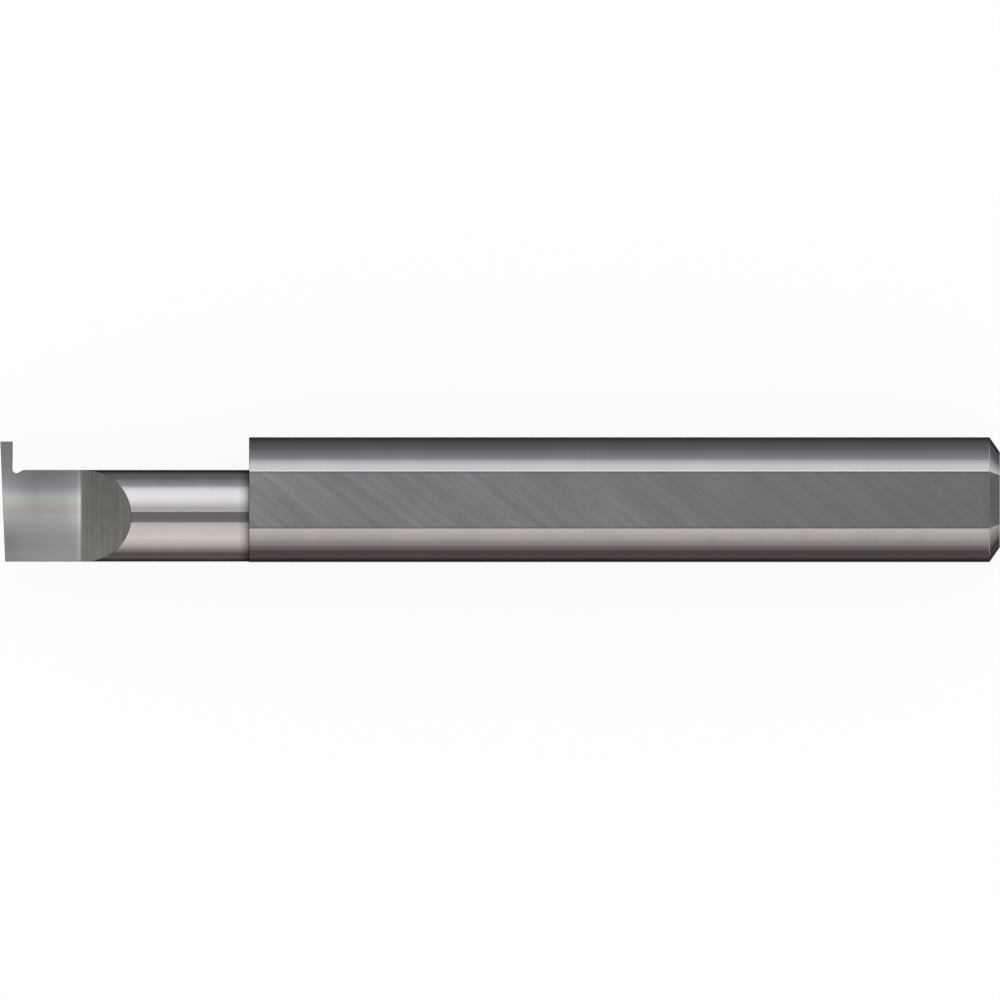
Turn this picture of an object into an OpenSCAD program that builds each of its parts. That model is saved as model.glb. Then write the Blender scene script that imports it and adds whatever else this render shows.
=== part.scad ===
/*
Internal grooving tool, ground from one round bar of solid carbide.
The shank has a clamping flat and a chamfered back end. The neck in front of it
is ground off centre, and its end is cut down to a half-round head that carries
one narrow grooving tooth. All sizes are in millimetres and degrees.

The tool lies along X with its tooth towards +Y and its flat and rake face
towards +Z, as its holder clamps it, and the round back of its shank is on Z = 0.
*/

/* [Shank] */
// Shank diameter
shank_d = 7.9375; // [7.5:0.0625:10]
// Overall length, from the front corner of the tooth to the back end
overall_l = 63.5; // [45:0.5:90]
// Depth of the clamping flat under the shank's surface
flat_depth = 0.44; // [0.2:0.02:0.7]
// Length of the back chamfer along the shank
chamfer_l = 0.66; // [0.3:0.02:1.5]
// Depth of the back chamfer across the shank
chamfer_depth = 0.95; // [0.3:0.05:1.5]

/* [Neck] */
// Neck diameter
neck_d = 5.83; // [4.5:0.01:6.5]
// Length of the neck, from the front corner of the tooth to the shoulder
neck_l = 15.8; // [11:0.1:25]
// Step from the shank's back side in to the neck's back side
neck_step = 0.03; // [0.03:0.01:0.5]

/* [Head] */
// Length of the rake face, from the front corner to the foot of the ramp
rake_l = 5.39; // [2.5:0.01:7]
// Height of the rake face over the shank's axis: 0 cuts on centre
rake_h = 0; // [-0.3:0.05:0.3]
// Slope of the ramp that runs out of the neck behind the rake face
ramp_angle = 45; // [35:1:60]
// Radius in the corner between the rake face and the ramp
ramp_foot_r = 1.2; // [0.2:0.1:2]
// Slope of the front face back from the tooth, seen from above
face_angle = 2.3; // [0:0.1:5]
// Relief of the front face under its edge
face_relief = 3; // [0:0.5:6]

/* [Tooth] */
// Width of the tooth at its cutting edge, the width of the groove
tooth_w = 0.79; // [0.5:0.01:1.6]
// Reach of the tooth beyond the neck, the deepest groove that it cuts
tooth_reach = 1.81; // [0.8:0.01:2.5]
// Length of the tooth's back flank that keeps the full width
land_l = 0.75; // [0.1:0.05:0.75]
// How much narrower the tooth is at its root than at its cutting edge
root_taper = 0.02; // [0.01:0.01:0.1]
// Relief of the tooth's back flank under its edge
flank_relief = 2; // [0:0.5:4]
// Relief of the tooth's end under the cutting edge
end_relief = 8; // [4:0.5:12]
// Radius of the tooth's end, seen along the tool
end_r = 3; // [2.6:0.05:3.2]

/* [Notch behind the tooth] */
// Radius of the notch
notch_r = 0.285; // [0.15:0.005:0.4]
// Depth of the notch under the neck's surface
notch_depth = 0.215; // [0.1:0.005:0.28]
// Slope at which the notch runs out to the neck's surface
notch_exit = 32; // [20:1:50]

/* [Hidden] */
$fn = 96;

// How far cutting shapes run past the stock that they cut
past = 0.5;
// How far the neck runs on inside the shank
neck_root = 1;
// How far the tooth's stock runs on behind its flank, before the notch is cut
stock_extra = 0.05;
// How far a straight cut that ends on a round stops short of it
seam = 0.001;
// Side of a cutting block, longer than anything that it cuts
block = 2 * shank_d;

shank_r = shank_d / 2;
neck_r = neck_d / 2;
neck_y = neck_r + neck_step - shank_r;
neck_top = neck_y + neck_r;
tip_y = neck_top + tooth_reach;
flat_h = shank_r - flat_depth;

// Centre of the tooth's round end, as Y and Z
end_center = [tip_y - end_r * cos(end_relief), rake_h + end_r * sin(end_relief)];

// Notch, seen from above: its centre and the point where its straight exit starts
root_w = tooth_w - root_taper;
notch_center = [root_w + notch_r, neck_top - notch_depth + notch_r];
exit_start = notch_center + (notch_r - seam) * [sin(notch_exit), -cos(notch_exit)];
gap_top = tip_y + past;
exit_end = [exit_start.x + (gap_top - exit_start.y) / tan(notch_exit), gap_top];

// Ramp, seen from the side: its corner with the rake face and the round in it
ramp_dir = [cos(ramp_angle), sin(ramp_angle)];
ramp_corner = [rake_l, rake_h];
foot_start = ramp_corner - [ramp_foot_r * tan(ramp_angle / 2), 0];
foot_center = foot_start + [0, ramp_foot_r];
foot_end = foot_center + (ramp_foot_r - seam) * [ramp_dir.y, -ramp_dir.x];
stock_top = max(neck_r, end_center.y + end_r);
ramp_rise = stock_top + past - rake_h;
ramp_end = ramp_corner + ramp_rise / ramp_dir.y * ramp_dir;

// A cylinder along X, from x0 to x1, on an axis at [y, z]
module bar(x0, x1, r, center) {
    translate([x0, center.x, center.y])
        rotate([0, 90, 0])
            cylinder(r = r, h = x1 - x0);
}

// An outline in X and Z, made as wide in Y as the shank and a little more
module across() {
    rotate([90, 0, 0])
        linear_extrude(height = shank_d + 2 * past, center = true)
            children();
}

// An outline in X and Y, run straight down through the head and tilted about
// its line at the cutting edge
module down_through(tilt) {
    translate([root_w, 0, rake_h])
        rotate([0, tilt, 0])
            translate([-root_w, 0, 0])
                linear_extrude(height = block, center = true)
                    children();
}

module shank() {
    difference() {
        rotate([0, 90, 0])
            rotate_extrude()
                polygon([
                    [0, neck_l],
                    [shank_r, neck_l],
                    [shank_r, overall_l - chamfer_l],
                    [shank_r - chamfer_depth, overall_l],
                    [0, overall_l]
                ]);
        clamping_flat();
    }
}

// The flat runs from the shoulder to the back end and down over the chamfer
module clamping_flat() {
    chamfer_slope = chamfer_depth / chamfer_l;
    across()
        polygon([
            [neck_l - past, flat_h],
            [overall_l - chamfer_l, flat_h],
            [overall_l + past, flat_h - chamfer_slope * (chamfer_l + past)],
            [overall_l + past, shank_r + past],
            [neck_l - past, shank_r + past]
        ]);
}

module neck() {
    bar(-past, neck_l + neck_root, neck_r, [neck_y, 0]);
}

module tooth_stock() {
    bar(-past, tooth_w + stock_extra, end_r, end_center);
}

// The space behind the tooth: its back flank, the notch and the way out
module tooth_gap() {
    down_through(flank_relief) {
        polygon([
            [tooth_w, gap_top],
            [tooth_w, tip_y - land_l],
            [root_w, notch_center.y],
            notch_center,
            exit_start,
            exit_end
        ]);
        translate(notch_center)
            circle(r = notch_r);
    }
}

// What is ground away over the rake face and up the ramp
module rake_cut() {
    across()
        polygon([
            [-block, rake_h],
            foot_start,
            foot_center,
            foot_end,
            ramp_end,
            [-block, ramp_end.y]
        ]);
}

// The round in the corner between the rake face and the ramp
module ramp_foot() {
    across()
        translate(foot_center)
            circle(r = ramp_foot_r);
}

// The front face leans back from the tooth's corner across and under the head
module front_cut() {
    translate([0, tip_y, rake_h])
        rotate([0, -face_relief, 0])
            rotate([0, 0, face_angle])
                translate([-block, -block, -block])
                    cube([block, block + past, 2 * block]);
}

module head() {
    difference() {
        union() {
            neck();
            tooth_stock();
        }
        tooth_gap();
        rake_cut();
        ramp_foot();
        front_cut();
    }
}

module grooving_tool() {
    color([0.47, 0.46, 0.46])
        translate([-overall_l / 2, 0, shank_r]) {
            shank();
            head();
        }
}

grooving_tool();
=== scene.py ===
import math

import bmesh
import bpy
from mathutils import Matrix, Vector


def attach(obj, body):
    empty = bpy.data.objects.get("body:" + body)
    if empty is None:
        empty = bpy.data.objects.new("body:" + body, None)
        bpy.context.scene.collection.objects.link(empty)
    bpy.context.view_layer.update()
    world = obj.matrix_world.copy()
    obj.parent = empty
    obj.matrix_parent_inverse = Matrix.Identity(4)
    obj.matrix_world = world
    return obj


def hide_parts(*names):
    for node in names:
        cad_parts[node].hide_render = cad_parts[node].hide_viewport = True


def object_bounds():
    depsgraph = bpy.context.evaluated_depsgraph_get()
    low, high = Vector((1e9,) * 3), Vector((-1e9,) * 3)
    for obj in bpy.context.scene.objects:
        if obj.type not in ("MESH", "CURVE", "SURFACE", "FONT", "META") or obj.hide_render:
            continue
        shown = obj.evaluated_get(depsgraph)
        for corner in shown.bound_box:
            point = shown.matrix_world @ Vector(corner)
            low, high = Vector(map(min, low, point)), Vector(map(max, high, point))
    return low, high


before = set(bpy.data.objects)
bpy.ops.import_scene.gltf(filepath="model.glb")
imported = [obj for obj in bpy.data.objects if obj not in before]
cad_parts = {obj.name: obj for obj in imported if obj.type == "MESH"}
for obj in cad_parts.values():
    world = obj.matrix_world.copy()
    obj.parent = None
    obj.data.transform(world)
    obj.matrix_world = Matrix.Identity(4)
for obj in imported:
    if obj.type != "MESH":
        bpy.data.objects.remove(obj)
cadLow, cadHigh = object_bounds()
print("frame loaded, box", [round(v * 1000, 3) for v in (*cadLow, *cadHigh)], "mm")

# Sizes are in millimetres, as in the part's source: x runs from the cutting end
# to the back end, y towards the tooth and z out of the flat.
mm = 0.001
micron = 0.001 * mm
past = 0.5  # how far a cut runs on past what it cuts


def addNode(tree, kind, x=0, y=0):
    node = tree.nodes.new(kind)
    node.location = (x, y)
    return node


# A material that holds only its output node
def emptyMaterial(name, x):
    mat = bpy.data.materials.new(name)
    mat.use_nodes = True
    tree = mat.node_tree
    tree.nodes.clear()
    return mat, tree, addNode(tree, "ShaderNodeOutputMaterial", x, 0)


# 0 up to low and 1 from high on, with a soft change between them
def smoothMask(tree, value, low, high, x=0, y=0):
    node = addNode(tree, "ShaderNodeMapRange", x, y)
    node.interpolation_type = "SMOOTHSTEP"
    node.inputs["From Min"].default_value = low
    node.inputs["From Max"].default_value = high
    tree.links.new(value, node.inputs["Value"])
    return node.outputs["Result"]


def calc(tree, operation, a, b=0.0, x=0, y=0):
    node = addNode(tree, "ShaderNodeMath", x, y)
    node.operation = operation
    for socket, value in zip(node.inputs, (a, b)):
        if isinstance(value, (int, float)):
            socket.default_value = value
        else:
            tree.links.new(value, socket)
    return node.outputs[0]


def scaleAndAdd(tree, value, factor, offset, x=0, y=0):
    node = addNode(tree, "ShaderNodeMath", x, y)
    node.operation = "MULTIPLY_ADD"
    node.inputs[1].default_value = factor
    node.inputs[2].default_value = offset
    tree.links.new(value, node.inputs[0])
    return node.outputs[0]


def mixColor(tree, blend, factor, a, b, x=0, y=0):
    node = addNode(tree, "ShaderNodeMix", x, y)
    node.data_type = "RGBA"
    node.blend_type = blend
    for socket, value in ((node.inputs[0], factor), (node.inputs[6], a), (node.inputs[7], b)):
        if isinstance(value, (int, float)):
            socket.default_value = value
        elif isinstance(value, tuple):
            socket.default_value = (*value, 1.0)
        else:
            tree.links.new(value, socket)
    return node.outputs[2]


# What each tint multiplies red, green and blue by
tints = {
    "plain": (1.0, 1.0, 1.0),
    "warm": (1.05, 1.0, 0.94),
    "brown": (1.22, 1.0, 1.01),
    "rose": (1.08, 1.0, 1.06),
    "violet": (1.07, 1.0, 1.14),
    "cool": (0.99, 1.0, 1.09),
    "green": (0.95, 1.0, 0.95),
}


def tinted(level, tint="plain"):
    return tuple(level * part for part in tints[tint])


# Each stop is a place, a level and, where it isn't plain, the name of its tint
def colorStops(tree, value, stops, x=0, y=0):
    node = addNode(tree, "ShaderNodeValToRGB", x, y)
    ramp = node.color_ramp
    while len(ramp.elements) > 1:
        ramp.elements.remove(ramp.elements[-1])
    ramp.elements[0].position = stops[0][0]
    ramp.elements[0].color = (*tinted(*stops[0][1:]), 1.0)
    for position, *tone in stops[1:]:
        ramp.elements.new(position).color = (*tinted(*tone), 1.0)
    tree.links.new(value, node.inputs["Fac"])
    return node.outputs["Color"]


# 0 up to low and 1 from high on, straight between them
def spread(tree, value, low, high, x=0, y=0):
    node = addNode(tree, "ShaderNodeMapRange", x, y)
    node.inputs["From Min"].default_value = low
    node.inputs["From Max"].default_value = high
    tree.links.new(value, node.inputs["Value"])
    return node.outputs["Result"]


# A ramp like that of colorStops, its places in the value's own unit
def colorOver(tree, value, stops, unit=1.0):
    first, last = stops[0][0], stops[-1][0]
    shares = [((place - first) / (last - first), *tone) for place, *tone in stops]
    return colorStops(tree, spread(tree, value, first * unit, last * unit), shares)


markDefaults = {
    "Angle": 0.0,
    "Along": 0.2,
    "Fine Across": 10.0,
    "Broad Across": 2.0,
    "Tint Across": 0.8,
    "Detail": 3.0,
}
markRoughness = 0.6
driftScale = 0.4
driftDetail = 2.0
driftMask = (0.35, 0.65)  # where its noise turns from dark to light
tintMask = (0.38, 0.62)  # and where that of the marks turns from cool to warm


# Straight grinding marks along one direction: fine lines, broad bands and a slow tint
def makeGrindMarks():
    group = bpy.data.node_groups.new("grindMarks", "ShaderNodeTree")
    sockets = group.interface
    sockets.new_socket("Position", in_out="INPUT", socket_type="NodeSocketVector")
    for name, value in markDefaults.items():
        sockets.new_socket(name, in_out="INPUT", socket_type="NodeSocketFloat").default_value = value
    for name in ("Fine", "Broad", "Tint"):
        sockets.new_socket(name, in_out="OUTPUT", socket_type="NodeSocketFloat")
    start = addNode(group, "NodeGroupInput", -900, 0)
    end = addNode(group, "NodeGroupOutput", 500, 0)
    turn = addNode(group, "ShaderNodeVectorRotate", -700, 0)
    turn.rotation_type = "Z_AXIS"
    group.links.new(start.outputs["Position"], turn.inputs["Vector"])
    group.links.new(start.outputs["Angle"], turn.inputs["Angle"])
    for row, output in enumerate(("Fine", "Broad", "Tint")):
        stretch = addNode(group, "ShaderNodeCombineXYZ", -480, -260 * row)
        group.links.new(start.outputs["Along"], stretch.inputs["X"])
        group.links.new(start.outputs[output + " Across"], stretch.inputs["Y"])
        group.links.new(start.outputs["Along"], stretch.inputs["Z"])
        scaled = addNode(group, "ShaderNodeVectorMath", -280, -260 * row)
        scaled.operation = "MULTIPLY"
        group.links.new(turn.outputs["Vector"], scaled.inputs[0])
        group.links.new(stretch.outputs["Vector"], scaled.inputs[1])
        noise = addNode(group, "ShaderNodeTexNoise", -60, -260 * row)
        noise.inputs["Scale"].default_value = 1.0
        noise.inputs["Roughness"].default_value = markRoughness
        group.links.new(scaled.outputs["Vector"], noise.inputs["Vector"])
        group.links.new(start.outputs["Detail"], noise.inputs["Detail"])
        group.links.new(noise.outputs["Fac"], end.inputs[output])
    return group


# Slow drift of a surface's tone between two levels
def makeToneDrift():
    group = bpy.data.node_groups.new("toneDrift", "ShaderNodeTree")
    sockets = group.interface
    sockets.new_socket("Position", in_out="INPUT", socket_type="NodeSocketVector")
    sockets.new_socket("Scale", in_out="INPUT", socket_type="NodeSocketFloat").default_value = driftScale
    for name in ("Dark", "Light"):
        sockets.new_socket(name, in_out="INPUT", socket_type="NodeSocketColor")
    sockets.new_socket("Color", in_out="OUTPUT", socket_type="NodeSocketColor")
    start = addNode(group, "NodeGroupInput", -600, 0)
    end = addNode(group, "NodeGroupOutput", 300, 0)
    noise = addNode(group, "ShaderNodeTexNoise", -380, 0)
    noise.inputs["Detail"].default_value = driftDetail
    group.links.new(start.outputs["Position"], noise.inputs["Vector"])
    group.links.new(start.outputs["Scale"], noise.inputs["Scale"])
    factor = smoothMask(group, noise.outputs["Fac"], *driftMask, -180, 0)
    color = mixColor(group, "MIX", factor, start.outputs["Dark"], start.outputs["Light"], 60, 0)
    group.links.new(color, end.inputs["Color"])
    return group


grindMarks = makeGrindMarks()
toneDrift = makeToneDrift()
print("shader groups made")

shank = {
    "diameter": 7.9375,
    "length": 63.5,
    "flatDepth": 0.44,
    "chamferLength": 0.66,
    "chamferDepth": 0.95,
    "segments": 256,
}
neck = {
    "diameter": 5.83,
    "length": 15.8,
    "step": 0.03,
    "root": 1.0,  # how far it runs on inside the shank
    "shade": 0.9,  # how far before the shoulder the painted shade starts
    "segments": 224,
}
head = {
    "rakeLength": 5.39,
    "rampAngle": 45.0,
    "footRadius": 1.2,
    "footSteps": 25,
    "brightFoot": 0.262,  # how far past the foot's start the rake face's grinding, with its painted highlight, goes
    "cutTop": 5.0,  # how high over the rake face all is cut away
    "faceAngle": 2.3,
    "faceRelief": 3.0,
}
tooth = {
    "width": 0.79,
    "reach": 1.81,
    "landLength": 0.75,
    "rootTaper": 0.02,
    "flankRelief": 2.0,
    "endRelief": 8.0,
    "endRadius": 3.0,
    "extra": 0.05,  # how far its stock runs on behind its flank
    "segments": 224,
}
notch = {
    "radius": 0.285,
    "depth": 0.215,
    "exitSlope": 32.0,
    "steps": 24,
}
softEdge = {
    "width": 0.024,
    "steps": 2,
    "from": 12.0,  # the least angle between faces that gets one
    "reach": 0.1,  # how near to a place an edge counts as lying there
}

shankR = shank["diameter"] / 2
neckR = neck["diameter"] / 2
neckY = neckR + neck["step"] - shankR
neckTop = neckY + neckR
neckLow = neckY - neckR
tipY = neckTop + tooth["reach"]
rampAngle = math.radians(head["rampAngle"])
footX = head["rakeLength"] - head["footRadius"] * math.tan(rampAngle / 2)
rakeEnd = footX + head["brightFoot"]
rampTop = head["rakeLength"] + neckR / math.tan(rampAngle)
flatH = shankR - shank["flatDepth"]
flatHalf = math.sqrt(shankR ** 2 - flatH ** 2)
block = 2 * shank["diameter"]  # how far the cuts on the head reach, past all of it
steep = 0.5  # a normal with more than this along an axis faces that way

# What the finishes of the turned lengths share, and then those of the edges
barMarks = {
    "angle": 90.0, "along": 0.05, "fine": 14.0, "broad": 1.6, "tint": 0.3, "detail": 3.0,
    "fineTone": 0.03, "broadTone": 0.02, "bump": 0.1, "edgeTint": (0.30, 0.27, 0.29),
}
edgeMarks = {
    "angle": 20.0, "along": 2.0, "fine": 6.0, "broad": 1.0, "tint": 0.8, "detail": 3.0,
    "bump": 0.1,
}
# cool and warm are the two colours that the tint mixes. drift holds its scale, darkest and
# lightest. angle, in degrees, to detail shape the marks, and fineTone and broadTone say how
# far they change the tone. rough is its lowest and highest, bump is in microns, and edgeTint
# is what a grazing view takes on. Each of tones paints light and shade into the colour: it is an
# axis, where the ramp starts and ends on it, its stops, and at times another axis and where on
# it the ramp comes in. fade is an axis, where marks weaken on it and from what to what. rim is
# where, across the flat, a darker border starts and is full, and its tone.
finishes = {
    "shankGrindAndHighlight": {
        "cool": (0.405, 0.388, 0.397), "warm": (0.415, 0.395, 0.395), "drift": (0.25, 0.98, 1.02),
        "rough": (0.045, 0.09), **barMarks,
        # painted highlight: the land beside the flat catches more light on the tooth's side
        "tones": [("around", 24.0, 34.0, [(0.3, 1.0), (0.33, 1.26), (0.44, 1.23), (0.5, 1.0)])],
    },
    "neckGrindAndShade": {
        "cool": (0.507, 0.487, 0.494), "warm": (0.517, 0.494, 0.489), "drift": (0.4, 0.98, 1.02),
        "rough": (0.04, 0.08), **barMarks,
        # painted shade: the neck darkens where it meets the shoulder
        "tones": [("x", neck["length"] - neck["shade"], neck["length"], [
            (0.0, 1.0), (0.3, 0.98), (0.7, 0.67), (1.0, 0.3)])],
    },
    "chamferGrindAndReflection": {
        "cool": (0.478, 0.467, 0.481), "warm": (0.489, 0.478, 0.478), "drift": (0.6, 0.97, 1.03),
        "angle": 90.0, "along": 0.1, "fine": 10.0, "broad": 2.0, "tint": 0.5, "detail": 3.0,
        "fineTone": 0.04, "broadTone": 0.04, "rough": (0.14, 0.20), "bump": 0.1,
        "edgeTint": (0.30, 0.27, 0.29),
        # painted reflection: light and dark bands around the chamfer, warm away from the tooth and cool on
        # its side
        "tones": [("around", -90.0, 90.0, [
            (0.0, 0.37, "brown"), (0.13, 1.2, "warm"), (0.18, 0.39, "warm"), (0.23, 0.41, "warm"),
            (0.33, 0.77, "warm"), (0.656, 1.31), (0.755, 0.42, "cool"), (0.81, 0.47, "cool"),
            (0.86, 1.15, "cool"), (1.0, 0.38)])],
    },
    "flatGrindAndShading": {
        "cool": (0.465, 0.486, 0.484), "warm": (0.472, 0.487, 0.475), "drift": (0.3, 0.98, 1.02),
        "angle": 38.0, "along": 0.12, "fine": 5.0, "broad": 0.95, "tint": 1.1, "detail": 2.0,
        "fineTone": 0.06, "broadTone": 0.30, "rough": (0.20, 0.27), "bump": 0.05,
        "edgeTint": (0.6, 0.6, 0.6),
        "fade": ("x", 18.0, 52.0, 1.2, 0.22),
        # painted shading: the flat is lighter by the shoulder and darker towards the back end
        "tones": [("x", neck["length"], shank["length"], [
            (0.0, 1.18), (0.12, 0.98), (0.3, 1.05), (0.8, 0.87), (0.975, 0.82), (1.0, 0.66)])],
        "rim": (1.66, 1.76, 0.76),
    },
    "facetGrind": {
        "cool": (0.30, 0.30, 0.30), "warm": (0.31, 0.31, 0.303), "drift": (0.8, 0.97, 1.03),
        "angle": 0.0, "along": 0.3, "fine": 8.0, "broad": 2.0, "tint": 0.9, "detail": 2.0,
        "fineTone": 0.05, "broadTone": 0.05, "rough": (0.14, 0.22), "bump": 0.1,
        "edgeTint": (0.5, 0.5, 0.5),
    },
    "rampGrindAndShade": {
        # painted shade: the ramp's dark base stands in for the dark reflection it catches
        "cool": (0.272, 0.274, 0.254), "warm": (0.285, 0.281, 0.263), "drift": (0.9, 0.96, 1.04),
        "angle": 90.0, "along": 0.15, "fine": 21.0, "broad": 5.0, "tint": 1.2, "detail": 0.5,
        "fineTone": 0.36, "broadTone": 0.10, "rough": (0.16, 0.24), "bump": 0.2,
        "edgeTint": (0.5, 0.5, 0.5),
        # painted shading: lighter at the bottom, darker at the top and near the foot
        "tones": [
            ("y", neckLow, neckTop, [(0.0, 1.19), (0.5, 1.03), (0.75, 1.02), (1.0, 0.9)]),
            ("x", rakeEnd, rampTop, [(0.0, 0.78), (0.133, 0.66), (0.238, 0.98), (1.0, 0.98)]),
        ],
    },
    "rakeGrindAndSheen": {
        "cool": (0.509, 0.532, 0.530), "warm": (0.519, 0.532, 0.520), "drift": (0.5, 0.98, 1.02),
        "angle": 0.0, "along": 0.15, "fine": 4.0, "broad": 1.0, "tint": 0.5, "detail": 1.0,
        "fineTone": 0.02, "broadTone": 0.03, "rough": (0.30, 0.36), "bump": 0.05,
        "edgeTint": (0.6, 0.6, 0.6),
        "tones": [
            # painted reflection: bands of sheen across the rake face, a bright green one near the middle
            # and a dark violet and rose one above it
            ("y", neckLow, tipY, [
                (0.0, 0.98), (0.2, 0.91), (0.36, 1.2), (0.43, 1.13, "warm"), (0.53, 1.37, "green"),
                (0.63, 0.76, "violet"), (0.73, 0.58, "rose"), (0.79, 0.66), (1.0, 0.61)]),
            # painted light and shade: the front end is lighter on the tooth's side and darker on the other
            ("y", neckLow, tipY, [(0.0, 0.76), (0.2, 0.73), (0.55, 1.24), (0.74, 1.26), (0.79, 1.0)],
             ("x", 2.2, 0.0)),
            # and a painted highlight: the foot of the ramp is lighter in the middle
            ("y", neckLow, neckTop, [(0.0, 0.82), (0.55, 1.07), (1.0, 0.98)], ("x", 3.5, 4.9)),
            # painted highlight: a bright strip by the foot of the ramp, with a dark line at its end
            ("x", 0.0, rakeEnd, [
                (0.0, 1.06), (0.45, 0.92), (0.8, 1.03), (0.93, 1.18), (0.965, 1.38), (1.0, 0.55)]),
        ],
    },
    "sideGrind": {
        "cool": (0.42, 0.42, 0.43), "warm": (0.44, 0.43, 0.42), "drift": (0.8, 0.97, 1.03),
        "angle": 0.0, "along": 0.4, "fine": 10.0, "broad": 2.0, "tint": 0.8, "detail": 3.0,
        "fineTone": 0.10, "broadTone": 0.06, "rough": (0.16, 0.24), "bump": 0.2,
        "edgeTint": (0.4, 0.4, 0.4),
    },
    "flatEdge": {
        "cool": (0.42, 0.415, 0.415), "warm": (0.43, 0.42, 0.41), "drift": (1.5, 0.95, 1.05),
        "fineTone": 0.06, "broadTone": 0.06, "rough": (0.10, 0.18), "edgeTint": (0.6, 0.6, 0.6),
        **edgeMarks,
    },
    "edgeLineAndShade": {
        "cool": (0.46, 0.452, 0.46), "warm": (0.48, 0.472, 0.467), "drift": (1.5, 0.9, 1.1),
        "fineTone": 0.08, "broadTone": 0.10, "rough": (0.12, 0.22), "edgeTint": (0.4, 0.4, 0.4),
        **edgeMarks,
        # painted shade: it shines less where it borders the flat
        "tones": [("around", -40.0, 40.0, [(0.155, 1.0), (0.165, 0.5), (0.835, 0.5), (0.845, 1.0)])],
    },
    # painted shade: a dark copy of the edge finish, for the head's edges and the back end's rim
    "paintedShadeEdge": {
        "cool": (0.10, 0.10, 0.10), "warm": (0.11, 0.11, 0.106), "drift": (1.5, 0.9, 1.1),
        "fineTone": 0.08, "broadTone": 0.10, "rough": (0.15, 0.25), "edgeTint": (0.3, 0.3, 0.3),
        **edgeMarks,
    },
}


# The place in the tool's own millimetres, and what a ramp can run along
def addPlaces(tree):
    coords = addNode(tree, "ShaderNodeTexCoord", -1300, 0)
    toMm = addNode(tree, "ShaderNodeVectorMath", -1100, 0)
    toMm.operation = "MULTIPLY_ADD"
    toMm.inputs[1].default_value = (1 / mm, 1 / mm, 1 / mm)
    toMm.inputs[2].default_value = (shank["length"] / 2, 0.0, -shankR)
    tree.links.new(coords.outputs["Object"], toMm.inputs[0])
    place = toMm.outputs["Vector"]
    split = addNode(tree, "ShaderNodeSeparateXYZ", -900, -300)
    tree.links.new(place, split.inputs[0])
    turned = calc(tree, "ARCTAN2", split.outputs["Y"], split.outputs["Z"], -700, -500)
    around = calc(tree, "DEGREES", turned, 0.0, -540, -600)
    return place, {"x": split.outputs["X"], "y": split.outputs["Y"], "around": around}


def addMarks(tree, place, s):
    marks = addNode(tree, "ShaderNodeGroup", -900, 0)
    marks.node_tree = grindMarks
    tree.links.new(place, marks.inputs["Position"])
    marks.inputs["Angle"].default_value = math.radians(s["angle"])
    marks.inputs["Along"].default_value = s["along"]
    marks.inputs["Fine Across"].default_value = s["fine"]
    marks.inputs["Broad Across"].default_value = s["broad"]
    marks.inputs["Tint Across"].default_value = s["tint"]
    marks.inputs["Detail"].default_value = s["detail"]
    return marks.outputs


def addDrift(tree, place, s):
    drift = addNode(tree, "ShaderNodeGroup", -900, 300)
    drift.node_tree = toneDrift
    tree.links.new(place, drift.inputs["Position"])
    scale, dark, light = s["drift"]
    drift.inputs["Scale"].default_value = scale
    drift.inputs["Dark"].default_value = (dark, dark, dark, 1.0)
    drift.inputs["Light"].default_value = (light, light, light, 1.0)
    return drift.outputs["Color"]


# How far the marks lighten and darken the tone around 1
def addMarkTone(tree, along, marks, s):
    fine = scaleAndAdd(tree, marks["Fine"], 2 * s["fineTone"], -s["fineTone"], -500, 60)
    broad = scaleAndAdd(tree, marks["Broad"], 2 * s["broadTone"], -s["broadTone"], -500, -100)
    tone = calc(tree, "ADD", fine, broad, -340, 0)
    if "fade" in s:
        axis, start, stop, first, last = s["fade"]
        fade = spread(tree, along[axis], start, stop, -660, -300)
        fade = scaleAndAdd(tree, fade, last - first, first, -500, -300)
        tone = calc(tree, "MULTIPLY", tone, fade, -180, -100)
    tone = calc(tree, "ADD", tone, 1.0, -20, 0)
    if "rim" in s:
        start, stop, level = s["rim"]
        side = calc(tree, "ABSOLUTE", along["y"], 0.0, -660, -500)
        nearEdge = smoothMask(tree, side, start, stop, -500, -500)
        rim = scaleAndAdd(tree, nearEdge, level - 1.0, 1.0, -340, -500)
        tone = calc(tree, "MULTIPLY", tone, rim, 120, -100)
    return tone


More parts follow.
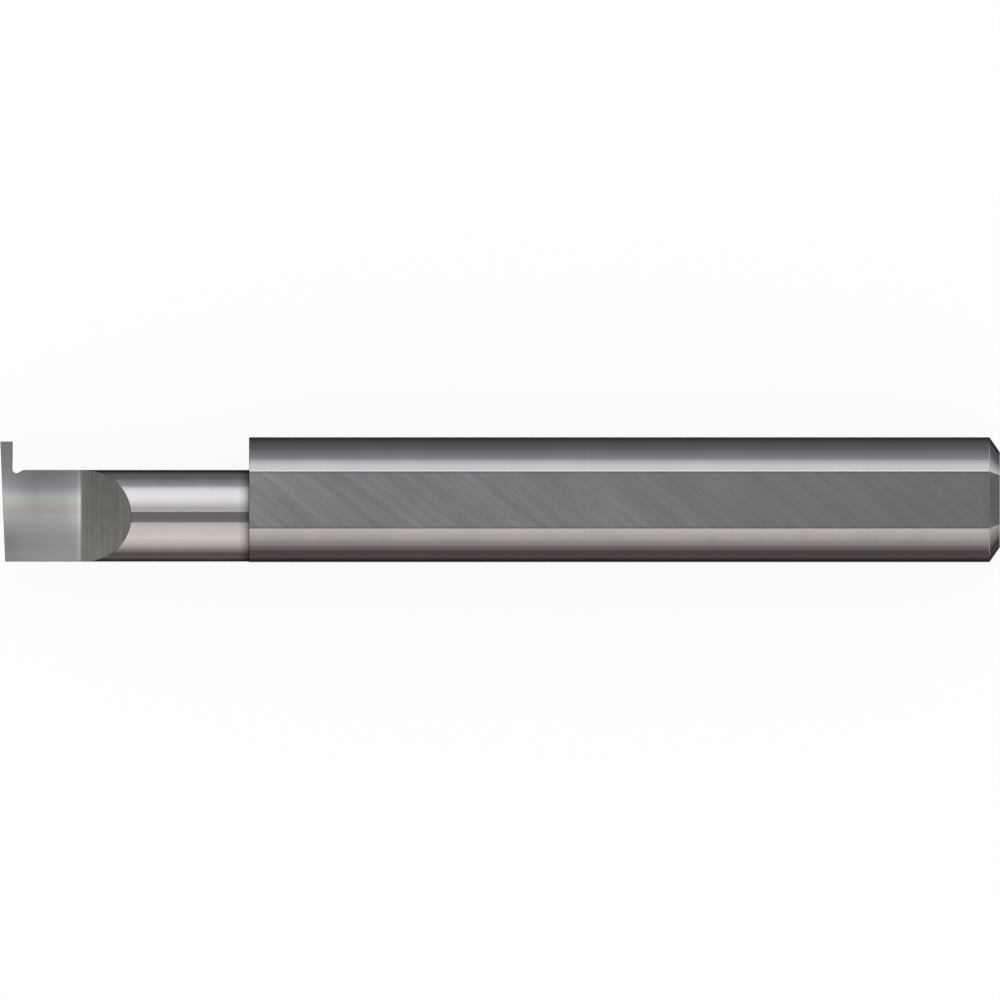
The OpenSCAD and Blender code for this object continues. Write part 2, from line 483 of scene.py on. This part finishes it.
def makeFinish(name):
    s = finishes[name]
    mat, tree, out = emptyMaterial(name, 1400)
    shader = addNode(tree, "ShaderNodeBsdfPrincipled", 1100, 0)
    shader.inputs["Metallic"].default_value = 1.0
    shader.inputs["Specular Tint"].default_value = (*s["edgeTint"], 1.0)
    tree.links.new(shader.outputs["BSDF"], out.inputs["Surface"])
    place, along = addPlaces(tree)
    marks = addMarks(tree, place, s)
    drift = addDrift(tree, place, s)
    tone = addMarkTone(tree, along, marks, s)

    tintShare = smoothMask(tree, marks["Tint"], *tintMask, -180, 560)
    base = mixColor(tree, "MIX", tintShare, s["cool"], s["warm"], 0, 560)
    color = mixColor(tree, "MULTIPLY", 1.0, drift, tone, 320, 100)
    color = mixColor(tree, "MULTIPLY", 1.0, base, color, 440, 300)
    for row, (axis, start, stop, stops, *part) in enumerate(s.get("tones", ())):
        y = 800 + 300 * row
        tint = colorStops(tree, spread(tree, along[axis], start, stop, -200, y), stops, 0, y)
        share = 1.0
        if part:
            partAxis, none, full = part[0]
            share = smoothMask(tree, along[partAxis], none, full, 300, y)
        color = mixColor(tree, "MULTIPLY", share, color, tint, 620 + 160 * row, 300)
    tree.links.new(color, shader.inputs["Base Color"])

    low, high = s["rough"]
    rough = scaleAndAdd(tree, marks["Fine"], high - low, low, 500, -200)
    tree.links.new(rough, shader.inputs["Roughness"])
    bump = addNode(tree, "ShaderNodeBump", 800, -450)
    bump.inputs["Distance"].default_value = s["bump"] * micron
    bump.inputs["Strength"].default_value = 1.0
    tree.links.new(marks["Fine"], bump.inputs["Height"])
    tree.links.new(bump.outputs["Normal"], shader.inputs["Normal"])
    return mat


surfaces = {name: makeFinish(name) for name in finishes}
print("materials made:", ", ".join(surfaces))


def putMesh(name, bm, *mats):
    mesh = bpy.data.meshes.new(name)
    bm.to_mesh(mesh)
    bm.free()
    for mat in mats:
        mesh.materials.append(mat)
    obj = bpy.data.objects.new(name, mesh)
    bpy.context.scene.collection.objects.link(obj)
    return obj


# A closed shape, its finishes given by name
def putSolid(name, bm, *finishNames):
    bmesh.ops.recalc_face_normals(bm, faces=bm.faces)
    return putMesh(name, bm, *[surfaces[finish] for finish in finishNames])


# A turned bar along x: profile is a list of (x, radius), center is its (y, z), and
# finishNames holds one finish for each length and one for both ends
def turnedBar(name, profile, center, segments, finishNames):
    bm = bmesh.new()
    rings = []
    for x, radius in profile:
        ring = []
        for i in range(segments):
            a = 2 * math.pi * (i + 0.5) / segments
            y = center[0] + radius * math.cos(a)
            z = center[1] + radius * math.sin(a)
            ring.append(bm.verts.new((x, y, z)))
        rings.append(ring)
    for step, (first, second) in enumerate(zip(rings, rings[1:])):
        for i in range(segments):
            j = (i + 1) % segments
            bm.faces.new((first[i], first[j], second[j], second[i])).material_index = step
    for ring in (rings[0], rings[-1]):
        bm.faces.new(ring).material_index = len(finishNames) - 1
    return putSolid(name, bm, *finishNames)


# An outline in x and z, drawn out along y
def sideOn(a, b, depth):
    return (a, depth, b)


# An outline in x and y, drawn out along z
def fromAbove(a, b, depth):
    return (a, b, depth)


# An outline drawn out from low to high; place turns its points and the depth to x, y, z
def drawnOut(name, outline, low, high, place, finish):
    bm = bmesh.new()
    lower = [bm.verts.new(place(a, b, low)) for a, b in outline]
    upper = [bm.verts.new(place(a, b, high)) for a, b in outline]
    bm.faces.new(lower)
    bm.faces.new(list(reversed(upper)))
    for i in range(len(outline)):
        j = (i + 1) % len(outline)
        bm.faces.new((lower[j], lower[i], upper[i], upper[j]))
    return putSolid(name, bm, finish)


# Bakes an object's modifiers into its mesh
def settle(obj):
    bpy.context.view_layer.update()
    graph = bpy.context.evaluated_depsgraph_get()
    result = obj.evaluated_get(graph)
    mesh = bpy.data.meshes.new_from_object(result, preserve_all_data_layers=True, depsgraph=graph)
    obj.modifiers.clear()
    old = obj.data
    obj.data = mesh
    bpy.data.meshes.remove(old)


def combine(target, other, operation):
    mod = target.modifiers.new("combine", "BOOLEAN")
    mod.operation = operation
    mod.solver = "EXACT"
    mod.material_mode = "TRANSFER"
    mod.object = other
    settle(target)
    bpy.data.objects.remove(other)


# The flat runs from the shoulder to the back end and down over the chamfer
def makeFlatCut():
    chamferX = shank["length"] - shank["chamferLength"]
    slope = shank["chamferDepth"] / shank["chamferLength"]
    cut = drawnOut("flatCut", [
        (neck["length"] - past, flatH), (chamferX, flatH),
        (shank["length"] + past, flatH - slope * (shank["chamferLength"] + past)),
        (shank["length"] + past, shankR + past), (neck["length"] - past, shankR + past),
    ], -shankR - past, shankR + past, sideOn, "flatGrindAndShading")
    cut.data.materials.append(surfaces["facetGrind"])
    for face in cut.data.polygons:
        if face.center.x > chamferX and abs(face.normal.y) < steep:
            face.material_index = 1
    return cut


def makeShank():
    bar = turnedBar("shankBar", [
        (neck["length"], shankR), (shank["length"] - shank["chamferLength"], shankR),
        (shank["length"], shankR - shank["chamferDepth"]),
    ], (0, 0), shank["segments"], ("shankGrindAndHighlight", "chamferGrindAndReflection", "sideGrind"))
    combine(bar, makeFlatCut(), "DIFFERENCE")
    return bar


def makeNeck():
    profile = [(-past, neckR), (neck["length"] + neck["root"], neckR)]
    return turnedBar("neckBar", profile, (neckY, 0), neck["segments"], ("neckGrindAndShade", "sideGrind"))


def makeToothStock():
    radius = tooth["endRadius"]
    relief = math.radians(tooth["endRelief"])
    center = (tipY - radius * math.cos(relief), radius * math.sin(relief))
    profile = [(-past, radius), (tooth["width"] + tooth["extra"], radius)]
    return turnedBar("toothBar", profile, center, tooth["segments"], ("neckGrindAndShade", "sideGrind"))


# The space behind the tooth: its back flank, the notch and the way out
def makeGapCut():
    rootW = tooth["width"] - tooth["rootTaper"]
    center = Vector((rootW + notch["radius"], neckTop - notch["depth"] + notch["radius"]))
    slope = math.radians(notch["exitSlope"])
    gapTop = tipY + past
    outline = [(tooth["width"], gapTop), (tooth["width"], tipY - tooth["landLength"])]
    for i in range(notch["steps"] + 1):
        a = math.pi + (math.pi / 2 + slope) * i / notch["steps"]
        outline.append((center.x + notch["radius"] * math.cos(a), center.y + notch["radius"] * math.sin(a)))
    last = outline[-1]
    outline.append((last[0] + (gapTop - last[1]) / math.tan(slope), gapTop))
    gap = drawnOut("gapCut", outline, -block, block, fromAbove, "sideGrind")
    hinge = Matrix.Translation((rootW, 0, 0))
    tilt = Matrix.Rotation(math.radians(tooth["flankRelief"]), 4, "Y")
    gap.data.transform(hinge @ tilt @ hinge.inverted())
    return gap


# The rake face, the round at the ramp's foot and the ramp
def makeRakeCut():
    outline = [(-block, 0), (footX, 0)]
    for i in range(1, head["footSteps"] + 1):
        a = rampAngle * i / head["footSteps"]
        outline.append((footX + head["footRadius"] * math.sin(a), head["footRadius"] * (1 - math.cos(a))))
    footEnd, footH = outline[-1]
    top = head["cutTop"]
    outline += [(footEnd + (top - footH) / math.tan(rampAngle), top), (-block, top)]
    rake = drawnOut("rakeCut", outline, -block, block, sideOn, "rampGrindAndShade")
    rake.data.materials.append(surfaces["rakeGrindAndSheen"])
    for face in rake.data.polygons:
        if face.normal.z < -steep and face.center.x < rakeEnd:
            face.material_index = 1
    return rake


# The front face leans back from the tooth's corner
def makeFrontCut():
    outline = [(-block, -block), (0, -block), (0, past), (-block, past)]
    front = drawnOut("frontCut", outline, -block, block, fromAbove, "sideGrind")
    front.data.transform(Matrix.Translation((0, tipY, 0))
                         @ Matrix.Rotation(-math.radians(head["faceRelief"]), 4, "Y")
                         @ Matrix.Rotation(math.radians(head["faceAngle"]), 4, "Z"))
    return front


def makeHead():
    bar = makeNeck()
    combine(bar, makeToothStock(), "UNION")
    for cut in (makeGapCut(), makeRakeCut(), makeFrontCut()):
        combine(bar, cut, "DIFFERENCE")
    return bar


# Rounds every edge off a little, in finishes of their own: one darkened with painted shade
# from the head to the shoulder and at the back end's rim, one beside the flat and one for all
# the others, which has painted shade where it borders the flat
def softenEdges(body):
    mesh = body.data
    mesh.shade_smooth()
    edgeSlot = len(mesh.materials)
    for finish in ("edgeLineAndShade", "flatEdge", "paintedShadeEdge"):
        mesh.materials.append(surfaces[finish])
    soften = body.modifiers.new("softEdge", "BEVEL")
    soften.width = softEdge["width"]
    soften.segments = softEdge["steps"]
    soften.limit_method = "ANGLE"
    soften.angle_limit = math.radians(softEdge["from"])
    soften.use_clamp_overlap = False
    soften.harden_normals = True
    soften.material = edgeSlot
    soften.miter_outer = "MITER_ARC"
    settle(body)
    reach = softEdge["reach"]
    for face in body.data.polygons:
        if face.material_index != edgeSlot:
            continue
        x, y, z = face.center
        if x < neck["length"] + reach or x > shank["length"] - reach:
            face.material_index = edgeSlot + 2
        elif abs(z - flatH) < reach and abs(abs(y) - flatHalf) < reach:
            face.material_index = edgeSlot + 1


# Into the shared frame, in metres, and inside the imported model's box
def placeInFrame(mesh):
    mesh.transform(Matrix.Scale(mm, 4) @ Matrix.Translation((-shank["length"] / 2, 0, shankR)))
    low = Vector(tuple(min(v.co[i] for v in mesh.vertices) for i in range(3)))
    high = Vector(tuple(max(v.co[i] for v in mesh.vertices) for i in range(3)))
    for v in mesh.vertices:
        for i in range(3):
            part = (v.co[i] - low[i]) / (high[i] - low[i])
            v.co[i] = max(low[i], cadLow[i]) * (1 - part) + min(high[i], cadHigh[i]) * part


def makeTool():
    body = makeShank()
    combine(body, makeHead(), "UNION")
    body.name = "groovingToolBody"
    print("solid joined:", len(body.data.vertices), "vertices,", len(body.data.polygons), "faces")
    softenEdges(body)
    placeInFrame(body.data)
    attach(body, "root")
    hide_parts("grooving_tool")
    print("tool finished:", len(body.data.vertices), "vertices,", len(body.data.polygons), "faces")


makeTool()


def onlyReflected(obj):
    obj.visible_camera = False
    obj.visible_diffuse = False
    obj.visible_transmission = False
    obj.visible_volume_scatter = False
    obj.visible_shadow = False


def stageMesh(name, bm, mat):
    obj = putMesh(name, bm, mat)
    return obj


floorLook = {
    "size": 3000.0,
    "color": 0.85,
    "glow": 0.90,
}


def makeFloor():
    mat, tree, out = emptyMaterial("paleFloor", 900)
    paint = addNode(tree, "ShaderNodeBsdfDiffuse")
    glow = addNode(tree, "ShaderNodeEmission")
    path = addNode(tree, "ShaderNodeLightPath")
    seen = calc(tree, "MAXIMUM", path.outputs["Is Camera Ray"], path.outputs["Is Glossy Ray"], -300, 0)
    seen = calc(tree, "MAXIMUM", seen, path.outputs["Is Transmission Ray"], -100, 0)
    lift = calc(tree, "MULTIPLY", seen, floorLook["glow"], 100, 0)
    tree.links.new(lift, glow.inputs["Strength"])
    # where the glow lifts the floor to white, its own paint gives only the rest and the shadow
    spare = floorLook["color"] + floorLook["glow"] - 1.0
    level = scaleAndAdd(tree, seen, -spare, floorLook["color"], 100, -200)
    tree.links.new(level, paint.inputs["Color"])
    both = addNode(tree, "ShaderNodeAddShader")
    tree.links.new(paint.outputs[0], both.inputs[0])
    tree.links.new(glow.outputs[0], both.inputs[1])
    tree.links.new(both.outputs[0], out.inputs["Surface"])
    bm = bmesh.new()
    bmesh.ops.create_grid(bm, x_segments=1, y_segments=1, size=floorLook["size"] * mm)
    stageMesh("floorSheet", bm, mat)


tentLook = {
    "radius": 2000.0,
    "rings": (64, 48),
    # how far it goes on below the floor, as a share of its radius
    "below": 0.25,
    # its light against degrees from straight up, plus on the tooth's side
    "sides": [
        (-89, 0.52, "warm"), (-76, 0.82, "warm"), (-56, 1.12, "warm"), (-29, 0.98, "warm"), (-19, 0.83),
        (0, 1.0), (19, 0.75), (39, 1.38), (52, 1.5), (67, 1.35, "cool"), (76, 1.0, "cool"),
        (81.5, 0.55, "cool"), (90, 0.46, "cool"),
    ],
    # its light past both ends of the tool, and the degrees between which that comes in
    "ends": (0.72, 0.72, 0.71),
    "endsFrom": 24.0,
    "endsTo": 32.0,
    # the camera's dark opening overhead: its tone from side to side, where its rim
    # softens and how far it leans, all in degrees
    "opening": [
        (-15, 0.295, "rose"), (-8.75, 0.3, "rose"), (-6.5, 0.24, "rose"), (1, 0.26, "rose"), (10, 0.25),
    ],
    "openingFrom": 12.4,
    "openingTo": 14.2,
    "openingLean": -3.0,
}


# A wide light tent overhead, which only reflections see
def makeLightDome():
    mat, tree, out = emptyMaterial("tentCloth", 900)
    glow = addNode(tree, "ShaderNodeEmission")
    coords = addNode(tree, "ShaderNodeTexCoord")
    unit = addNode(tree, "ShaderNodeVectorMath")
    unit.operation = "NORMALIZE"
    tree.links.new(coords.outputs["Object"], unit.inputs[0])
    split = addNode(tree, "ShaderNodeSeparateXYZ")
    tree.links.new(unit.outputs["Vector"], split.inputs[0])
    side = calc(tree, "ARCTAN2", split.outputs["Y"], split.outputs["Z"])
    degree = math.radians(1)
    sideLight = colorOver(tree, side, tentLook["sides"], degree)
    endAngle = calc(tree, "ARCSINE", calc(tree, "ABSOLUTE", split.outputs["X"]))
    ends = smoothMask(tree, endAngle, tentLook["endsFrom"] * degree, tentLook["endsTo"] * degree)
    light = mixColor(tree, "MIX", ends, sideLight, tentLook["ends"])
    lean = tentLook["openingLean"] * degree
    toOpening = addNode(tree, "ShaderNodeVectorMath")
    toOpening.operation = "DOT_PRODUCT"
    toOpening.inputs[1].default_value = (0.0, math.sin(lean), math.cos(lean))
    tree.links.new(unit.outputs["Vector"], toOpening.inputs[0])
    fromOpening = calc(tree, "ARCCOSINE", toOpening.outputs["Value"])
    openingFrom, openingTo = tentLook["openingFrom"] * degree, tentLook["openingTo"] * degree
    opening = smoothMask(tree, fromOpening, openingFrom, openingTo)
    dark = colorOver(tree, side, tentLook["opening"], degree)
    light = mixColor(tree, "MIX", opening, dark, light)
    tree.links.new(light, glow.inputs["Color"])
    tree.links.new(glow.outputs[0], out.inputs["Surface"])
    mat.cycles.emission_sampling = "NONE"
    bm = bmesh.new()
    columns, rows = tentLook["rings"]
    radius = tentLook["radius"] * mm
    bmesh.ops.create_uvsphere(bm, u_segments=columns, v_segments=rows, radius=radius)
    below = [v for v in bm.verts if v.co.z < -tentLook["below"] * radius]
    bmesh.ops.delete(bm, geom=below, context="VERTS")
    onlyReflected(stageMesh("lightTent", bm, mat))


# Its places along x are counted from the tool's middle
cardLook = {
    "lift": 0.002,
    # its light against y / (|y| + span)
    "span": 30.0,
    "tones": [
        (-0.95, 0.57, "warm"), (-0.6, 0.31, "warm"), (-0.52, 0.32, "warm"), (-0.4, 0.15, "brown"),
        (-0.3, 0.155, "brown"), (-0.25, 0.22, "brown"), (-0.19, 0.12, "brown"), (0.12, 0.08, "violet"),
        (0.18, 0.2, "violet"), (0.25, 0.23, "violet"), (0.4, 0.24, "violet"), (0.53, 0.365, "cool"),
        (0.95, 0.42, "cool"),
    ],
    # its light past the tool's back end, and the places between which that comes in
    "end": (0.90, 0.90, 0.90),
    "endFrom": 33.0,
    "endTo": 38.0,
    # a dark spot, which the facet over the chamfer reflects: reach is half its length
    # and width, and core is the part of that where it is fully dark
    "spot": (0.25, 0.25, 0.25),
    "spotX": 50.5,
    "spotReach": (9.0, 3.4),
    "spotCore": 0.6,
}


# A grey card under the tool, which only reflections see: it keeps the flanks dark
def makeShadeCard():
    mat, tree, out = emptyMaterial("greyCard", 900)
    glow = addNode(tree, "ShaderNodeEmission")
    coords = addNode(tree, "ShaderNodeTexCoord")
    split = addNode(tree, "ShaderNodeSeparateXYZ")
    tree.links.new(coords.outputs["Object"], split.inputs[0])
    reach = calc(tree, "ADD", calc(tree, "ABSOLUTE", split.outputs["Y"]), cardLook["span"] * mm)
    share = calc(tree, "DIVIDE", split.outputs["Y"], reach)
    tone = colorOver(tree, share, cardLook["tones"])
    end = smoothMask(tree, split.outputs["X"], cardLook["endFrom"] * mm, cardLook["endTo"] * mm)
    tone = mixColor(tree, "MIX", end, tone, cardLook["end"])
    spotLong, spotWide = cardLook["spotReach"]
    toSpot = addNode(tree, "ShaderNodeMapping")
    toSpot.inputs["Location"].default_value = (-cardLook["spotX"] / spotLong, 0.0, 0.0)
    toSpot.inputs["Scale"].default_value = (1 / (spotLong * mm), 1 / (spotWide * mm), 0.0)
    tree.links.new(coords.outputs["Object"], toSpot.inputs["Vector"])
    fromSpot = addNode(tree, "ShaderNodeVectorMath")
    fromSpot.operation = "LENGTH"
    tree.links.new(toSpot.outputs["Vector"], fromSpot.inputs[0])
    spot = smoothMask(tree, fromSpot.outputs["Value"], 1.0, cardLook["spotCore"])
    tone = mixColor(tree, "MIX", spot, tone, cardLook["spot"])
    tree.links.new(tone, glow.inputs["Color"])
    tree.links.new(glow.outputs[0], out.inputs["Surface"])
    mat.cycles.emission_sampling = "NONE"
    bm = bmesh.new()
    bmesh.ops.create_grid(bm, x_segments=1, y_segments=1, size=floorLook["size"] * mm)
    bmesh.ops.translate(bm, verts=bm.verts, vec=(0, 0, cardLook["lift"] * mm))
    onlyReflected(stageMesh("shadeCard", bm, mat))


worldLook = {
    "color": (1.0, 1.0, 1.0),
    "strength": 1.0,
}


def makeWorld():
    world = bpy.data.worlds.new("studioWorld")
    bpy.context.scene.world = world
    world.use_nodes = True
    back = world.node_tree.nodes["Background"]
    back.inputs["Color"].default_value = (*worldLook["color"], 1.0)
    back.inputs["Strength"].default_value = worldLook["strength"]


makeFloor()
makeLightDome()
makeShadeCard()
makeWorld()
print("studio set up")

# The camera looks down on the tool from the photo's side: lean, in degrees, tips it off
# the vertical, and left and down move it across the picture
view = {
    "width": 63.525,
    "distance": 150.0,
    "left": 0.007,
    "down": 0.02,
    "lean": 0.36,
    "clip": (1.0, 10000.0),
}

camera = bpy.data.objects.new("camera", bpy.data.cameras.new("camera"))
bpy.context.scene.collection.objects.link(camera)
camera.data.type = "ORTHO"
camera.data.ortho_scale = view["width"] * mm
camera.data.clip_start, camera.data.clip_end = [reach * mm for reach in view["clip"]]
lean = math.radians(view["lean"])
camera.rotation_euler = (-lean, 0.0, 0.0)
camera.location = (
    -view["left"] * mm,
    (view["distance"] * math.sin(lean) - view["down"]) * mm,
    (view["distance"] * math.cos(lean) + shankR) * mm,
)
bpy.context.scene.camera = camera
bpy.context.scene.view_settings.view_transform = "Standard"
print("camera set")
